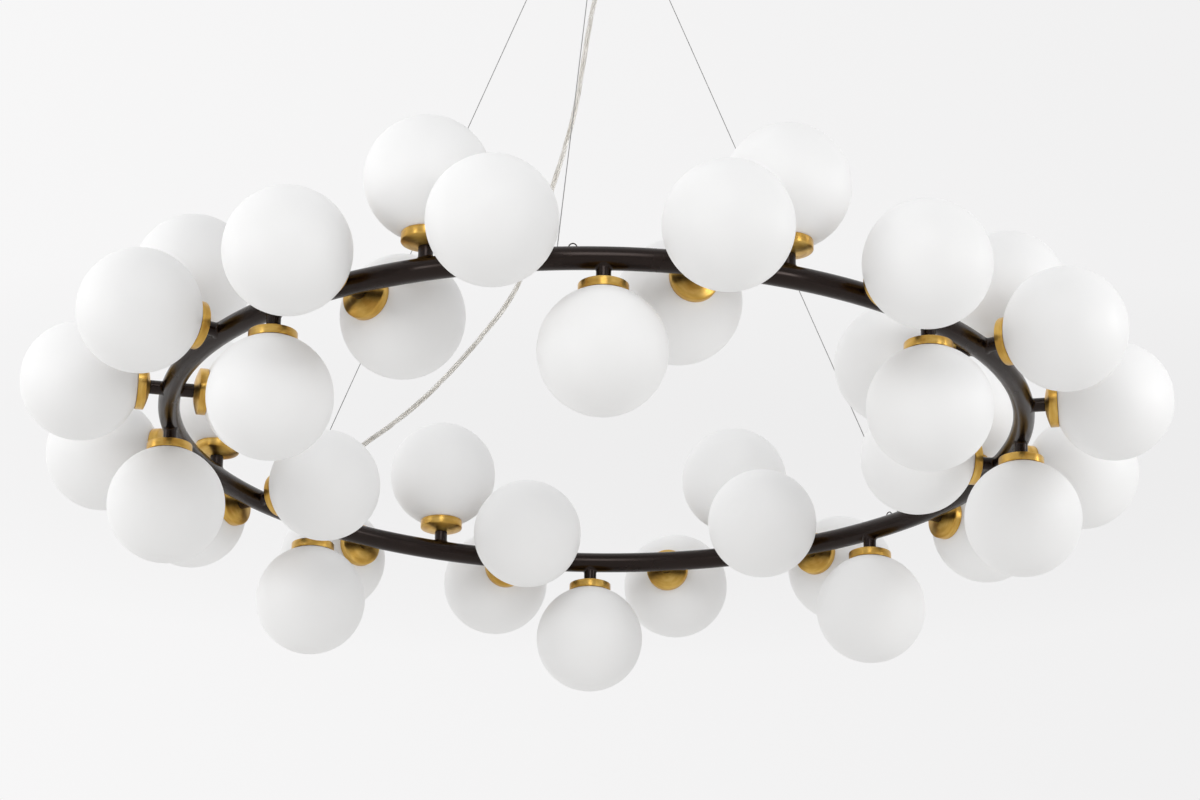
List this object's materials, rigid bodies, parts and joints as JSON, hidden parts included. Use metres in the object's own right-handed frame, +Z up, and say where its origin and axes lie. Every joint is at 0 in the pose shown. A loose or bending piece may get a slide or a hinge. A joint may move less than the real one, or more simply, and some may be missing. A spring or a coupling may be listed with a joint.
{
  "type": "orb chandelier",
  "caption": "Ring chandelier: opal glass globes on short black stems and brass cups point down, in, up and out of a hollow ring, hung by thin wires from a conical canopy.",
  "frame": {"origin": "middle of the ceiling bracket's two screw slots, on the ceiling and on the canopy's axis", "axes": "+Z up, out of the bracket's ceiling face; +X through the bracket's two slots, to the right of the picture; -Y towards the picture's camera"},
  "size_m": [1.1606, 1.1606, 0.7862],
  "materials": {
    "opal_glass": "satin opal white",
    "bronze_black_steel": "satin bronze black",
    "bronze_black_paint": "satin bronze black",
    "aged_brass": "brushed, aged",
    "holder_ceramic": "matt",
    "lamp_glass": "frosted",
    "zinc_steel": "zinc plated",
    "terminal_nylon": "matt",
    "nickel_steel": "nickel plated",
    "bright_wire": "stranded steel",
    "black_nylon": "matt",
    "clear_cord": "clear sheath over tinned cores"
  },
  "bodies": {
    "fixture": {"ceiling_bracket": "zinc_steel", "canopy_cover": "bronze_black_paint", "canopy_screws": "bronze_black_paint", "terminal_block": "terminal_nylon", "wire_grippers": "nickel_steel", "wire_near": "bright_wire", "wire_right": "bright_wire", "wire_left": "bright_wire", "wire_end_balls": "nickel_steel", "wire_loops": "bronze_black_steel", "cord_glands": "black_nylon", "power_cord": "clear_cord", "ring_tube": "bronze_black_steel", "stems": "bronze_black_steel", "cups": "aged_brass", "lampholders": "holder_ceramic", "lamps": "lamp_glass"},
    "globe_down_1": {"globe_down_1": "opal_glass"},
    "globe_outer_1": {"globe_outer_1": "opal_glass"},
    "globe_inner_1": {"globe_inner_1": "opal_glass"},
    "globe_up_1": {"globe_up_1": "opal_glass"},
    "globe_outer_2": {"globe_outer_2": "opal_glass"},
    "globe_down_2": {"globe_down_2": "opal_glass"},
    "globe_outer_3": {"globe_outer_3": "opal_glass"},
    "globe_inner_2": {"globe_inner_2": "opal_glass"},
    "globe_up_2": {"globe_up_2": "opal_glass"},
    "globe_outer_4": {"globe_outer_4": "opal_glass"},
    "globe_down_3": {"globe_down_3": "opal_glass"},
    "globe_outer_5": {"globe_outer_5": "opal_glass"},
    "globe_inner_3": {"globe_inner_3": "opal_glass"},
    "globe_up_3": {"globe_up_3": "opal_glass"},
    "globe_outer_6": {"globe_outer_6": "opal_glass"},
    "globe_down_4": {"globe_down_4": "opal_glass"},
    "globe_outer_7": {"globe_outer_7": "opal_glass"},
    "globe_inner_4": {"globe_inner_4": "opal_glass"},
    "globe_up_4": {"globe_up_4": "opal_glass"},
    "globe_outer_8": {"globe_outer_8": "opal_glass"},
    "globe_down_5": {"globe_down_5": "opal_glass"},
    "globe_outer_9": {"globe_outer_9": "opal_glass"},
    "globe_inner_5": {"globe_inner_5": "opal_glass"},
    "globe_up_5": {"globe_up_5": "opal_glass"},
    "globe_outer_10": {"globe_outer_10": "opal_glass"},
    "globe_down_6": {"globe_down_6": "opal_glass"},
    "globe_outer_11": {"globe_outer_11": "opal_glass"},
    "globe_inner_6": {"globe_inner_6": "opal_glass"},
    "globe_up_6": {"globe_up_6": "opal_glass"},
    "globe_outer_12": {"globe_outer_12": "opal_glass"},
    "globe_down_7": {"globe_down_7": "opal_glass"},
    "globe_outer_13": {"globe_outer_13": "opal_glass"},
    "globe_inner_7": {"globe_inner_7": "opal_glass"},
    "globe_up_7": {"globe_up_7": "opal_glass"},
    "globe_outer_14": {"globe_outer_14": "opal_glass"},
    "globe_down_8": {"globe_down_8": "opal_glass"},
    "globe_outer_15": {"globe_outer_15": "opal_glass"},
    "globe_inner_8": {"globe_inner_8": "opal_glass"},
    "globe_up_8": {"globe_up_8": "opal_glass"},
    "globe_outer_16": {"globe_outer_16": "opal_glass"},
    "release_collar_near": {"release_collar_near": "nickel_steel"},
    "release_collar_right": {"release_collar_right": "nickel_steel"},
    "release_collar_left": {"release_collar_left": "nickel_steel"}
  },
  "joints": [
    {"name": "globe_down_1_unscrew", "type": "hinge", "parent": "fixture", "child": "globe_down_1", "pos_m": [0.43757, 0.00535, -0.635], "axis": [0, 0, -1], "range_deg": [0, 540]},
    {"name": "globe_outer_1_unscrew", "type": "hinge", "parent": "fixture", "child": "globe_outer_1", "pos_m": [0.42689, 0.0962, -0.635], "axis": [0.9755, 0.2198, 0], "range_deg": [0, 540]},
    {"name": "globe_inner_1_unscrew", "type": "hinge", "parent": "fixture", "child": "globe_inner_1", "pos_m": [0.42689, 0.0962, -0.635], "axis": [-0.9755, -0.2198, 0], "range_deg": [0, 540]},
    {"name": "globe_up_1_unscrew", "type": "hinge", "parent": "fixture", "child": "globe_up_1", "pos_m": [0.40069, 0.17589, -0.635], "axis": [0, 0, 1], "range_deg": [0, 540]},
    {"name": "globe_outer_2_unscrew", "type": "hinge", "parent": "fixture", "child": "globe_outer_2", "pos_m": [0.35977, 0.24912, -0.635], "axis": [0.8221, 0.5693, 0], "range_deg": [0, 540]},
    {"name": "globe_down_2_unscrew", "type": "hinge", "parent": "fixture", "child": "globe_down_2", "pos_m": [0.30563, 0.31319, -0.635], "axis": [0, 0, -1], "range_deg": [0, 540]},
    {"name": "globe_outer_3_unscrew", "type": "hinge", "parent": "fixture", "child": "globe_outer_3", "pos_m": [0.23383, 0.36989, -0.635], "axis": [0.5344, 0.8453, 0], "range_deg": [0, 540]},
    {"name": "globe_inner_2_unscrew", "type": "hinge", "parent": "fixture", "child": "globe_inner_2", "pos_m": [0.23383, 0.36989, -0.635], "axis": [-0.5344, -0.8453, 0], "range_deg": [0, 540]},
    {"name": "globe_up_2_unscrew", "type": "hinge", "parent": "fixture", "child": "globe_up_2", "pos_m": [0.15896, 0.40771, -0.635], "axis": [0, 0, 1], "range_deg": [0, 540]},
    {"name": "globe_outer_4_unscrew", "type": "hinge", "parent": "fixture", "child": "globe_outer_4", "pos_m": [0.07824, 0.43055, -0.635], "axis": [0.1788, 0.9839, 0], "range_deg": [0, 540]},
    {"name": "globe_down_3_unscrew", "type": "hinge", "parent": "fixture", "child": "globe_down_3", "pos_m": [-0.00535, 0.43757, -0.635], "axis": [0, 0, -1], "range_deg": [0, 540]},
    {"name": "globe_outer_5_unscrew", "type": "hinge", "parent": "fixture", "child": "globe_outer_5", "pos_m": [-0.0962, 0.42689, -0.635], "axis": [-0.2198, 0.9755, 0], "range_deg": [0, 540]},
    {"name": "globe_inner_3_unscrew", "type": "hinge", "parent": "fixture", "child": "globe_inner_3", "pos_m": [-0.0962, 0.42689, -0.635], "axis": [0.2198, -0.9755, 0], "range_deg": [0, 540]},
    {"name": "globe_up_3_unscrew", "type": "hinge", "parent": "fixture", "child": "globe_up_3", "pos_m": [-0.17589, 0.40069, -0.635], "axis": [0, 0, 1], "range_deg": [0, 540]},
    {"name": "globe_outer_6_unscrew", "type": "hinge", "parent": "fixture", "child": "globe_outer_6", "pos_m": [-0.24912, 0.35977, -0.635], "axis": [-0.5693, 0.8221, 0], "range_deg": [0, 540]},
    {"name": "globe_down_4_unscrew", "type": "hinge", "parent": "fixture", "child": "globe_down_4", "pos_m": [-0.31319, 0.30563, -0.635], "axis": [0, 0, -1], "range_deg": [0, 540]},
    {"name": "globe_outer_7_unscrew", "type": "hinge", "parent": "fixture", "child": "globe_outer_7", "pos_m": [-0.36989, 0.23383, -0.635], "axis": [-0.8453, 0.5344, 0], "range_deg": [0, 540]},
    {"name": "globe_inner_4_unscrew", "type": "hinge", "parent": "fixture", "child": "globe_inner_4", "pos_m": [-0.36989, 0.23383, -0.635], "axis": [0.8453, -0.5344, 0], "range_deg": [0, 540]},
    {"name": "globe_up_4_unscrew", "type": "hinge", "parent": "fixture", "child": "globe_up_4", "pos_m": [-0.40771, 0.15896, -0.635], "axis": [0, 0, 1], "range_deg": [0, 540]},
    {"name": "globe_outer_8_unscrew", "type": "hinge", "parent": "fixture", "child": "globe_outer_8", "pos_m": [-0.43055, 0.07824, -0.635], "axis": [-0.9839, 0.1788, 0], "range_deg": [0, 540]},
    {"name": "globe_down_5_unscrew", "type": "hinge", "parent": "fixture", "child": "globe_down_5", "pos_m": [-0.43757, -0.00535, -0.635], "axis": [0, 0, -1], "range_deg": [0, 540]},
    {"name": "globe_outer_9_unscrew", "type": "hinge", "parent": "fixture", "child": "globe_outer_9", "pos_m": [-0.42689, -0.0962, -0.635], "axis": [-0.9755, -0.2198, 0], "range_deg": [0, 540]},
    {"name": "globe_inner_5_unscrew", "type": "hinge", "parent": "fixture", "child": "globe_inner_5", "pos_m": [-0.42689, -0.0962, -0.635], "axis": [0.9755, 0.2198, 0], "range_deg": [0, 540]},
    {"name": "globe_up_5_unscrew", "type": "hinge", "parent": "fixture", "child": "globe_up_5", "pos_m": [-0.40069, -0.17589, -0.635], "axis": [0, 0, 1], "range_deg": [0, 540]},
    {"name": "globe_outer_10_unscrew", "type": "hinge", "parent": "fixture", "child": "globe_outer_10", "pos_m": [-0.35977, -0.24912, -0.635], "axis": [-0.8221, -0.5693, 0], "range_deg": [0, 540]},
    {"name": "globe_down_6_unscrew", "type": "hinge", "parent": "fixture", "child": "globe_down_6", "pos_m": [-0.30563, -0.31319, -0.635], "axis": [0, 0, -1], "range_deg": [0, 540]},
    {"name": "globe_outer_11_unscrew", "type": "hinge", "parent": "fixture", "child": "globe_outer_11", "pos_m": [-0.23383, -0.36989, -0.635], "axis": [-0.5344, -0.8453, 0], "range_deg": [0, 540]},
    {"name": "globe_inner_6_unscrew", "type": "hinge", "parent": "fixture", "child": "globe_inner_6", "pos_m": [-0.23383, -0.36989, -0.635], "axis": [0.5344, 0.8453, 0], "range_deg": [0, 540]},
    {"name": "globe_up_6_unscrew", "type": "hinge", "parent": "fixture", "child": "globe_up_6", "pos_m": [-0.15896, -0.40771, -0.635], "axis": [0, 0, 1], "range_deg": [0, 540]},
    {"name": "globe_outer_12_unscrew", "type": "hinge", "parent": "fixture", "child": "globe_outer_12", "pos_m": [-0.07824, -0.43055, -0.635], "axis": [-0.1788, -0.9839, 0], "range_deg": [0, 540]},
    {"name": "globe_down_7_unscrew", "type": "hinge", "parent": "fixture", "child": "globe_down_7", "pos_m": [0.00535, -0.43757, -0.635], "axis": [0, 0, -1], "range_deg": [0, 540]},
    {"name": "globe_outer_13_unscrew", "type": "hinge", "parent": "fixture", "child": "globe_outer_13", "pos_m": [0.0962, -0.42689, -0.635], "axis": [0.2198, -0.9755, 0], "range_deg": [0, 540]},
    {"name": "globe_inner_7_unscrew", "type": "hinge", "parent": "fixture", "child": "globe_inner_7", "pos_m": [0.0962, -0.42689, -0.635], "axis": [-0.2198, 0.9755, 0], "range_deg": [0, 540]},
    {"name": "globe_up_7_unscrew", "type": "hinge", "parent": "fixture", "child": "globe_up_7", "pos_m": [0.17589, -0.40069, -0.635], "axis": [0, 0, 1], "range_deg": [0, 540]},
    {"name": "globe_outer_14_unscrew", "type": "hinge", "parent": "fixture", "child": "globe_outer_14", "pos_m": [0.24912, -0.35977, -0.635], "axis": [0.5693, -0.8221, 0], "range_deg": [0, 540]},
    {"name": "globe_down_8_unscrew", "type": "hinge", "parent": "fixture", "child": "globe_down_8", "pos_m": [0.31319, -0.30563, -0.635], "axis": [0, 0, -1], "range_deg": [0, 540]},
    {"name": "globe_outer_15_unscrew", "type": "hinge", "parent": "fixture", "child": "globe_outer_15", "pos_m": [0.36989, -0.23383, -0.635], "axis": [0.8453, -0.5344, 0], "range_deg": [0, 540]},
    {"name": "globe_inner_8_unscrew", "type": "hinge", "parent": "fixture", "child": "globe_inner_8", "pos_m": [0.36989, -0.23383, -0.635], "axis": [-0.8453, 0.5344, 0], "range_deg": [0, 540]},
    {"name": "globe_up_8_unscrew", "type": "hinge", "parent": "fixture", "child": "globe_up_8", "pos_m": [0.40771, -0.15896, -0.635], "axis": [0, 0, 1], "range_deg": [0, 540]},
    {"name": "globe_outer_16_unscrew", "type": "hinge", "parent": "fixture", "child": "globe_outer_16", "pos_m": [0.43055, -0.07824, -0.635], "axis": [0.9839, -0.1788, 0], "range_deg": [0, 540]},
    {"name": "release_collar_near_press", "type": "slide", "parent": "fixture", "child": "release_collar_near", "axis": [0.0489, 0.5436, 0.8379], "range_m": [0, 0.002], "stiffness_N_per_m": 400, "springref_m": -0.002},
    {"name": "release_collar_right_press", "type": "slide", "parent": "fixture", "child": "release_collar_right", "axis": [-0.4197, -0.349, 0.8379], "range_m": [0, 0.002], "stiffness_N_per_m": 400, "springref_m": -0.002},
    {"name": "release_collar_left_press", "type": "slide", "parent": "fixture", "child": "release_collar_left", "axis": [0.4066, -0.3659, 0.8371], "range_m": [0, 0.002], "stiffness_N_per_m": 400, "springref_m": -0.002}
  ]
}
